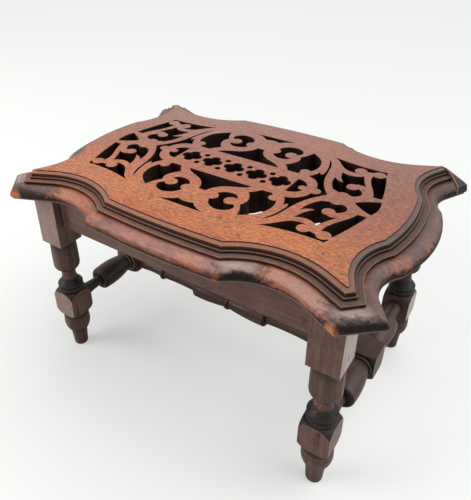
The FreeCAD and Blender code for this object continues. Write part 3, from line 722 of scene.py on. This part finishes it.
@dataclass(frozen=True)
class RepairFinish:
    """Darker wood of the glued-on horn, with its pale glue line."""

    name: str = "repair_wood"
    brown: Colour = (0.06, 0.037, 0.032)
    dark: Colour = (0.012, 0.008, 0.0075)
    glue: Colour = (0.52, 0.29, 0.14)
    edge_reach: float = 0.8
    air_reach: float = 3.0
    streak_share: float = 0.6
    base_share: float = 0.35
    pore_share: float = 0.5
    speck_share: float = 0.3
    wall_face: Range = (0.2, 0.6)
    wall_share: float = 0.85
    glue_out: Point = (0.6018, 0.7986, 0.0)
    glue_reach: float = 171.7
    glue_range: Range = (0.95, 0.45)
    glue_share: float = 0.9
    wobbles: Noise = Noise((6.0, 6.0, 6.0), 2.0)
    wobble: float = 0.5
    joint_face: Range = (-0.8, -0.95)
    joint_share: float = 0.5
    specular: float = 0.25
    rough: float = 0.42
    rough_pores: float = 0.1
    relief: float = 0.1

    def material(self) -> bpy.types.Material:
        """Build the material."""
        paint = Paint(self.name)
        marks = Marks(paint, Grain(Axis.ALONG_X), self.edge_reach, self.air_reach)
        colour = paint.blend(self.dark, self.brown, marks.streaks * self.streak_share + self.base_share)
        grime = marks.pores * self.pore_share + marks.specks * self.speck_share
        colour = paint.blend(colour, self.dark, grime)
        wall = 1.0 - abs(marks.face_z).rise(*self.wall_face)
        colour = paint.blend(colour, self.dark, wall * self.wall_share)
        wobble = (self.wobbles.over(paint, marks.place) - NOISE_MEAN) * self.wobble
        beyond = paint.dot(marks.place, self.glue_out) - self.glue_reach
        line = (beyond + wobble).rise(*self.glue_range)
        joint = paint.dot(marks.facing, self.glue_out).rise(*self.joint_face)
        colour = paint.blend(colour, self.glue, line * (self.glue_share - joint * self.joint_share))
        paint.feed(paint.shader.inputs["Specular IOR Level"], self.specular)
        rough = self.rough + marks.pores * self.rough_pores
        return paint.finish(colour, rough, 1.0 - marks.pores, self.relief, marks.rounded)


@dataclass(frozen=True)
class FrameFinish:
    """Dark waxed wood of the turned and square pieces under the top, with painted shade and painted light.
    Places in millimetres.
    """

    name: str
    axis: Axis
    light: Colour = (0.225, 0.118, 0.09)
    brown: Colour = (0.098, 0.047, 0.037)
    soot_and_shade: Colour = (0.0105, 0.0075, 0.0072)
    worn: Colour = (0.36, 0.15, 0.085)
    bleached_and_lit: Colour = (0.58, 0.47, 0.43)
    faded_and_lit: Colour = (0.42, 0.275, 0.228)
    streak_length: float = 60.0
    streak_width: float = 3.0
    pore_length: float = 4.2
    pore_width: float = 0.4
    edge_reach: float = 0.8
    air_reach: float = 4.0
    square_face: Range = (0.985, 0.998)
    streak_share: float = 0.4
    cloud_share: float = 0.3
    square_share: float = 0.4
    pore_share: float = 0.5
    speck_share: float = 0.35
    ragged_slope: float = 0.25
    slope_range: Range = (0.2, 0.55)
    slope_share: float = 0.92
    recess_range: Range = (0.86, 0.5)
    recess_share: float = 0.85
    shadowed_bands: Tuple[Range, ...] = ()
    shadow_end: float = 0.1
    shadow_share: float = 0.45
    shadow_ragged: float = 0.5
    shaded_band: Range = (73.0, 88.0)
    shaded_band_soft: float = 0.8
    shaded_band_share: float = 0.74
    dim_y: Range = (30.0, 80.0)
    dim_share: float = 0.45
    block_bottom: float = 131.3
    block_soft: float = 0.5
    cube_z: Range = (44.5, 73.3)
    cube_soft: float = 0.3
    bleached_and_lit_from: float = 149.0
    bleached_and_lit_soft: float = 0.2
    bleached_and_lit_face: Range = (0.85, 0.97)
    bleached_and_lit_streaks: float = 0.2
    bleached_and_lit_pores: float = 0.4
    bleached_and_lit_y: Range = (-40.0, 60.0)
    bleached_and_lit_share: float = 0.12
    bleached_and_lit_upper: float = 0.88
    faded_and_lit_x: Range = (-120.0, -124.0)
    faded_and_lit_face: Range = (-0.9, -0.98)
    faded_and_lit_streaks: float = 0.25
    faded_and_lit_pores: float = 0.5
    faded_and_lit_share: float = 0.92
    wear_range: Range = (0.38, 0.6)
    wear_share: float = 0.6
    check_length: float = 110.0
    check_width: float = 7.0
    check_range: Range = (0.006, 0.002)
    check_share: float = 0.7
    gnawed: Spot = Spot((133.0, -99.0, 94.0), 13.0)
    gnawed_range: Range = (0.47, 0.55)
    gnawed_share: float = 0.55
    rough: float = 0.42
    rough_specks: float = 0.12
    rough_pores: float = 0.1
    pore_depth: float = 0.7
    speck_depth: float = 0.3
    gnawed_depth: float = 0.8
    relief: float = 0.14
    specular: float = 0.2
    coat_rough: float = 0.3
    shine: float = 0.22
    hidden_shine: float = 0.1

    def material(self) -> bpy.types.Material:
        """Build the material."""
        paint = Paint(self.name)
        grain = Grain(self.axis, streak_length=self.streak_length, streak_width=self.streak_width,
                      pore_length=self.pore_length, pore_width=self.pore_width)
        marks = Marks(paint, grain, self.edge_reach, self.air_reach)
        square = abs(marks.face_x).at_least(abs(marks.face_y)).rise(*self.square_face)
        slope = abs(paint.dot(marks.facing, self.axis.value))
        slope = slope + (marks.ragged - NOISE_MEAN) * self.ragged_slope
        turned = slope.rise(*self.slope_range)
        recess = marks.open_air.rise(*self.recess_range)
        colour = self.wood(paint, marks, square, turned, recess)
        colour = self.bleach_and_light(paint, marks, square, colour)
        wear = marks.sharp_edge * marks.ragged.rise(*self.wear_range)
        colour = paint.blend(colour, self.worn, wear * self.wear_share)
        check_noise = Noise(grain.stretch(self.check_length, self.check_width), detail=2.0, rough=0.5)
        checks = abs(check_noise.over(paint, marks.place) - NOISE_MEAN).rise(*self.check_range)
        colour = paint.blend(colour, self.soot_and_shade, checks * self.check_share)
        flecks = self.gnawed.mask(paint, marks.place) * marks.ragged.rise(*self.gnawed_range)
        colour = paint.blend(colour, self.worn, flecks * self.gnawed_share)
        rough = self.rough + marks.specks * self.rough_specks + marks.pores * self.rough_pores
        height = 1.0 - marks.pores * self.pore_depth - marks.specks * self.speck_depth
        height = height - flecks * self.gnawed_depth - checks
        paint.wax(self.specular, self.coat_rough, self.shine - (turned + recess) * self.hidden_shine)
        return paint.finish(colour, rough, height, self.relief, marks.rounded)

    def wood(self, paint: Paint, marks: Marks, square: Value, turned: Value, recess: Value) -> Any:
        """Colour of the wood with its dirt, and painted shade on the slopes, in recesses, under the blocks
        and cubes, in a band round the collar and towards the back.

        Args:
            paint: Material to build in.
            marks: Marks of the surface.
            square: Mask of the square faces.
            turned: Mask of the slopes of the turned parts.
            recess: Mask of the recesses.

        Returns:
            The colour's socket.
        """
        shade = marks.streaks * self.streak_share + (marks.clouds - NOISE_MEAN) * self.cloud_share
        colour = paint.blend(self.brown, self.light, shade + square * self.square_share)
        dirt = marks.pores * self.pore_share + marks.specks * self.speck_share
        colour = paint.blend(colour, self.soot_and_shade, dirt)
        # Painted shade on the slopes of the turned parts and in recesses.
        colour = paint.blend(colour, self.soot_and_shade, turned * self.slope_share)
        colour = paint.blend(colour, self.soot_and_shade, recess * self.recess_share)
        # Painted shadow just under the blocks and cubes.
        for low, high in self.shadowed_bands:
            shelter = marks.z.rise(low, high) * marks.z.rise(high + self.shadow_end, high)
            grime = shelter * (self.shadow_share + marks.ragged * self.shadow_ragged)
            colour = paint.blend(colour, self.soot_and_shade, grime)
        # Painted shade: a near black band round the turned rings and collar.
        black = marks.z.band(*self.shaded_band, self.shaded_band_soft) * self.shaded_band_share
        colour = paint.blend(colour, self.soot_and_shade, black)
        # Painted shade: pieces darker towards the back.
        return paint.blend(colour, self.soot_and_shade, marks.y.rise(*self.dim_y) * self.dim_share)

    def bleach_and_light(self, paint: Paint, marks: Marks, square: Value, colour: Any) -> Any:
        """Add the paler right faces and front left faces of the legs: bleached and faded wood with painted
        light.

        Args:
            paint: Material to build in.
            marks: Marks of the surface.
            square: Mask of the square faces.
            colour: Colour so far.

        Returns:
            The colour's socket.
        """
        squared = marks.z.rise(self.block_bottom, self.block_bottom + self.block_soft)
        squared = (squared + marks.z.band(*self.cube_z, self.cube_soft)) * square
        mixture = marks.streaks * self.bleached_and_lit_streaks + marks.pores * self.bleached_and_lit_pores
        pale = paint.blend(self.bleached_and_lit, self.light, mixture)
        outer = marks.x.rise(self.bleached_and_lit_from - self.bleached_and_lit_soft, self.bleached_and_lit_from)
        upper = marks.z.rise(self.cube_z[1], self.block_bottom).at_least(marks.y.rise(*self.bleached_and_lit_y))
        # The outer right faces of the blocks and cubes are paler: bleached wood and painted light.
        bleaching_and_light = marks.face_x.rise(*self.bleached_and_lit_face) * outer * squared
        colour = paint.blend(colour, pale, bleaching_and_light * (self.bleached_and_lit_share + upper * self.bleached_and_lit_upper))
        # The front faces of the front left leg are paler: faded wood and painted light.
        left = marks.x.rise(*self.faded_and_lit_x) * marks.face_y.rise(*self.faded_and_lit_face)
        mixture = marks.pores * self.faded_and_lit_pores + marks.streaks * self.faded_and_lit_streaks
        faded_and_lit = paint.blend(self.faded_and_lit, self.brown, mixture)
        return paint.blend(colour, faded_and_lit, left * squared * self.faded_and_lit_share)


@dataclass(frozen=True)
class RawFinish:
    """Bare sawn wood of the glue blocks."""

    name: str = "raw_block_wood"
    light: Colour = (0.36, 0.235, 0.135)
    brown: Colour = (0.19, 0.115, 0.065)
    edge_reach: float = 0.6
    edge_share: float = 0.3
    pore_share: float = 0.6
    saw_noise: Noise = Noise((40.0, 40.0, 0.7), 1.0)
    saw_depth: float = 0.7
    pore_depth: float = 0.3
    rough: float = 0.7
    rough_pores: float = 0.15
    relief: float = 0.25

    def material(self) -> bpy.types.Material:
        """Build the material."""
        paint = Paint(self.name)
        grain = Grain(Axis.ALONG_Z)
        place = paint.place()
        edge, rounded = paint.arris(self.edge_reach)
        pores = grain.pores(paint, place)
        saw = self.saw_noise.over(paint, place)
        colour = paint.blend(self.brown, self.light, grain.streaks(paint, place))
        colour = paint.blend(colour, self.brown, pores * self.pore_share)
        colour = paint.blend(colour, self.light, edge * self.edge_share)
        height = saw * self.saw_depth - pores * self.pore_depth
        return paint.finish(colour, self.rough + pores * self.rough_pores, height, self.relief, rounded)


@dataclass(frozen=True)
class IronFinish:
    """Dull old metal of the screws and nails, with rust. Filler covers what lies beyond putty_from."""

    name: str
    metal: Colour = (0.2, 0.19, 0.185)
    rust: Colour = (0.11, 0.05, 0.03)
    putty: Colour = (0.12, 0.066, 0.052)
    putty_from: float = NOWHERE
    putty_soft: float = 1.0
    edge_reach: float = 0.3
    edge_clean: float = 0.5
    rust_noise: Noise = Noise((1.6, 1.6, 1.6), 5.0, 0.7)
    rust_range: Range = (0.42, 0.62)
    pit_noise: Noise = Noise((0.4, 0.4, 0.4), 3.0, 0.6)
    metallic: float = 0.85
    metallic_rust: float = 0.7
    rough: float = 0.42
    rough_rust: float = 0.35
    relief: float = 0.08

    def material(self) -> bpy.types.Material:
        """Build the material."""
        paint = Paint(self.name)
        place = paint.place()
        edge, rounded = paint.arris(self.edge_reach)
        rust = self.rust_noise.over(paint, place).rise(*self.rust_range)
        pits = self.pit_noise.over(paint, place)
        colour = paint.blend(self.metal, self.rust, rust * (1.0 - edge * self.edge_clean))
        filled = paint.split(place)[0].rise(self.putty_from - self.putty_soft, self.putty_from)
        colour = paint.blend(colour, self.putty, filled)
        metallic = (self.metallic - rust * self.metallic_rust) * (1.0 - filled)
        paint.feed(paint.shader.inputs["Metallic"], metallic)
        return paint.finish(colour, self.rough + rust * self.rough_rust, pits, self.relief, rounded)


def dress(names: List[str], material: bpy.types.Material) -> None:
    """Give CAD nodes a material and report them.

    Args:
        names: Names of the nodes.
        material: Material for all of them.
    """
    for name in names:
        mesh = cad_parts[name].data
        mesh.materials.clear()
        mesh.materials.append(material)
        log.info("%s dressed in %s", name, material.name)


@dataclass
class PiercedTop:
    """Top board and its repaired horn."""

    board: str = "top_board"
    repair: str = "top_corner_patch"

    def dress(self) -> None:
        """Give the board and the repair their finishes."""
        dress([self.board], TopFinish().material())
        dress([self.repair], RepairFinish().material())


@dataclass
class TurnedFrame:
    """Legs, aprons and stretchers."""

    legs: List[str] = field(default_factory=lambda: [
        "leg_front_left", "leg_front_right", "leg_back_left", "leg_back_right"])
    long_aprons: List[str] = field(default_factory=lambda: ["apron_front", "apron_back"])
    end_aprons: List[str] = field(default_factory=lambda: ["apron_left", "apron_right"])
    left_stretcher: str = "end_stretcher_left"
    right_stretcher: str = "end_stretcher_right"
    middle_stretcher: str = "middle_stretcher"
    leg_shadowed_bands: Tuple[Range, ...] = ((118.0, 131.2), (36.0, 44.4))
    shaded_light: Colour = (0.075, 0.036, 0.028)
    shaded_brown: Colour = (0.024, 0.012, 0.01)
    lit_light: Colour = (0.165, 0.092, 0.074)
    lit_brown: Colour = (0.078, 0.042, 0.034)
    red_light: Colour = (0.15, 0.066, 0.047)
    red_brown: Colour = (0.06, 0.026, 0.019)

    def dress(self) -> None:
        """Give each piece wood whose grain runs along it."""
        legs = FrameFinish("leg_wood", Axis.ALONG_Z, shadowed_bands=self.leg_shadowed_bands)
        dress(self.legs, legs.material())
        dress(self.long_aprons, FrameFinish("long_apron_wood", Axis.ALONG_X).material())
        dress(self.end_aprons, FrameFinish("end_apron_wood", Axis.ALONG_Y).material())
        # The end stretchers get shaded and lit copies of one wood: painted shade on the left one, painted
        # light on the right one.
        shaded = FrameFinish("left_stretcher_shaded_wood", Axis.ALONG_Y,
                             light=self.shaded_light, brown=self.shaded_brown,
                             bleached_and_lit_from=NOWHERE)
        dress([self.left_stretcher], shaded.material())
        lit = FrameFinish("right_stretcher_lit_wood", Axis.ALONG_Y,
                          light=self.lit_light, brown=self.lit_brown,
                          bleached_and_lit_from=NOWHERE)
        dress([self.right_stretcher], lit.material())
        reddish = FrameFinish("middle_stretcher_wood", Axis.ALONG_X,
                              light=self.red_light, brown=self.red_brown)
        dress([self.middle_stretcher], reddish.material())


@dataclass
class Underside:
    """Glue blocks, screws and nails."""

    blocks: List[str] = field(default_factory=lambda: [
        "corner_block_front_left", "corner_block_front_right",
        "corner_block_back_left", "corner_block_back_right"])
    screws: str = "top_screws"
    nails: str = "block_nails"
    nail_metal: Colour = (0.06, 0.055, 0.05)
    putty_from: float = 0.0

    def dress(self) -> None:
        """Give the blocks raw wood and the metal its rust."""
        dress(self.blocks, RawFinish().material())
        dress([self.screws], IronFinish("old_screw_steel").material())
        nails = IronFinish("old_nail_iron", metal=self.nail_metal, putty_from=self.putty_from)
        dress([self.nails], nails.material())


@dataclass(frozen=True)
class Softbox:
    """A square lamp that faces the stool."""

    name: str
    place: Point
    side: float
    watts: float
    target: Point = (0.0, 0.0, 0.1)

    def build(self) -> None:
        """Make the lamp."""
        lamp = bpy.data.lights.new(self.name, "AREA")
        lamp.shape = "SQUARE"
        lamp.size = self.side
        lamp.energy = self.watts
        holder = bpy.data.objects.new(self.name, lamp)
        holder.location = self.place
        away = Vector(self.place) - Vector(self.target)
        holder.rotation_mode = "QUATERNION"
        holder.rotation_quaternion = away.to_track_quat("Z", "Y")
        bpy.context.scene.collection.objects.link(holder)


@dataclass(frozen=True)
class Daylight:
    """Broad even light from above that does not fade with distance."""

    name: str
    towards: Point
    strength: float
    spread: float

    def build(self) -> None:
        """Make the light."""
        lamp = bpy.data.lights.new(self.name, "SUN")
        lamp.energy = self.strength
        lamp.angle = math.radians(self.spread)
        holder = bpy.data.objects.new(self.name, lamp)
        holder.rotation_mode = "QUATERNION"
        holder.rotation_quaternion = Vector(self.towards).to_track_quat("Z", "Y")
        bpy.context.scene.collection.objects.link(holder)


@dataclass
class Studio:
    """Pale floor, white surroundings and soft lamps."""

    floor_side: float = 12.0
    floor_colour: Colour = (0.58, 0.585, 0.575)
    floor_rough: float = 0.9
    floor_glow: Colour = (0.39, 0.396, 0.386)
    surround_colour: Colour = (0.93, 0.94, 0.93)
    surround_light: float = 0.3
    daylight: Daylight = Daylight("daylight", (0.3, 0.3, 1.0), 1.75, 70.0)
    lamps: List[Softbox] = field(default_factory=lambda: [
        Softbox("lamp_right", (1.25, 0.4, 0.7), 0.8, 4.0),
        Softbox("lamp_left", (-1.0, -0.95, 0.8), 0.9, 11.0),
    ])

    def build(self) -> None:
        """Make the floor, the world and the lamps."""
        self.lay_floor()
        self.light_world()
        self.daylight.build()
        for lamp in self.lamps:
            lamp.build()
        bpy.context.scene.view_settings.view_transform = "Standard"

    def lay_floor(self) -> None:
        """Make the floor, which shows the stool's shadow on a pale ground."""
        half = self.floor_side / 2
        mesh = bpy.data.meshes.new("floor")
        corners = [(-half, -half, 0.0), (half, -half, 0.0), (half, half, 0.0), (-half, half, 0.0)]
        mesh.from_pydata(corners, [], [(0, 1, 2, 3)])
        floor = bpy.data.objects.new("floor", mesh)
        bpy.context.scene.collection.objects.link(floor)
        paint = Paint("pale_floor")
        seen = Value(paint, paint.node("ShaderNodeLightPath", {}, {}).outputs["Is Camera Ray"])
        glow = paint.blend((0.0, 0.0, 0.0), self.floor_glow, seen)
        paint.feed(paint.shader.inputs["Emission Color"], glow)
        paint.feed(paint.shader.inputs["Emission Strength"], 1.0)
        paint.feed(paint.shader.inputs["Base Color"], self.floor_colour)
        paint.feed(paint.shader.inputs["Roughness"], self.floor_rough)
        paint.feed(paint.shader.inputs["Specular IOR Level"], 0.0)
        mesh.materials.append(paint.material)

    def light_world(self) -> None:
        """Make surroundings that look white and give a plain level of light."""
        world = bpy.data.worlds.new("white_room")
        bpy.context.scene.world = world
        world.use_nodes = True
        nodes = Nodes(world.node_tree)
        path = nodes.node("ShaderNodeLightPath", {}, {})
        seen = Value(nodes, path.outputs["Is Camera Ray"])
        seen = seen.at_least(Value(nodes, path.outputs["Is Glossy Ray"]))
        seen = seen.at_least(Value(nodes, path.outputs["Is Transmission Ray"]))
        strength = self.surround_light + seen * (1.0 - self.surround_light)
        sockets = {"Color": self.surround_colour, "Strength": strength}
        background = nodes.node("ShaderNodeBackground", {}, sockets)
        nodes.node("ShaderNodeOutputWorld", {}, {"Surface": background.outputs["Background"]})


@dataclass
class PhotoCamera:
    """Camera at the photograph's viewing angle."""

    place: Point = (0.2245, -0.3494, 0.4094)
    azimuth: float = 35.90
    elevation: float = 31.06
    roll: float = -1.10
    focal_pixels: float = 530.6
    centre_x: float = 210.0
    centre_y: float = 214.0
    sensor: float = 36.0
    nearest: float = 0.01

    def build(self) -> None:
        """Make the camera and set it as the scene's own."""
        long_side = max(IMAGE_WIDTH, IMAGE_HEIGHT)
        data = bpy.data.cameras.new("camera")
        data.sensor_width = self.sensor
        data.lens = self.focal_pixels / long_side * self.sensor
        data.shift_x = (IMAGE_WIDTH / 2 - self.centre_x) / long_side
        data.shift_y = (self.centre_y - IMAGE_HEIGHT / 2) / long_side
        data.clip_start = self.nearest
        camera = bpy.data.objects.new("camera", data)
        camera.matrix_world = self.matrix()
        bpy.context.scene.collection.objects.link(camera)
        bpy.context.scene.camera = camera

    def matrix(self) -> Matrix:
        """Place and turn of the camera.

        Returns:
            The camera's matrix in the world.
        """
        around = math.radians(self.azimuth)
        above = math.radians(self.elevation)
        lean = math.radians(self.roll)
        flat = math.cos(above)
        back = Vector((math.sin(around) * flat, -math.cos(around) * flat, math.sin(above)))
        level = Vector((math.cos(around), math.sin(around), 0.0))
        upright = back.cross(level)
        right = level * math.cos(lean) + upright * math.sin(lean)
        up = upright * math.cos(lean) - level * math.sin(lean)
        turn = Matrix((right, up, back)).transposed().to_4x4()
        return Matrix.Translation(self.place) @ turn


def main() -> None:
    """Build the scene in order."""
    logging.basicConfig(level=logging.INFO)
    PhotoCamera().build()
    PiercedTop().dress()
    TurnedFrame().dress()
    Underside().dress()
    Studio().build()


if __name__ == "__main__":
    main()
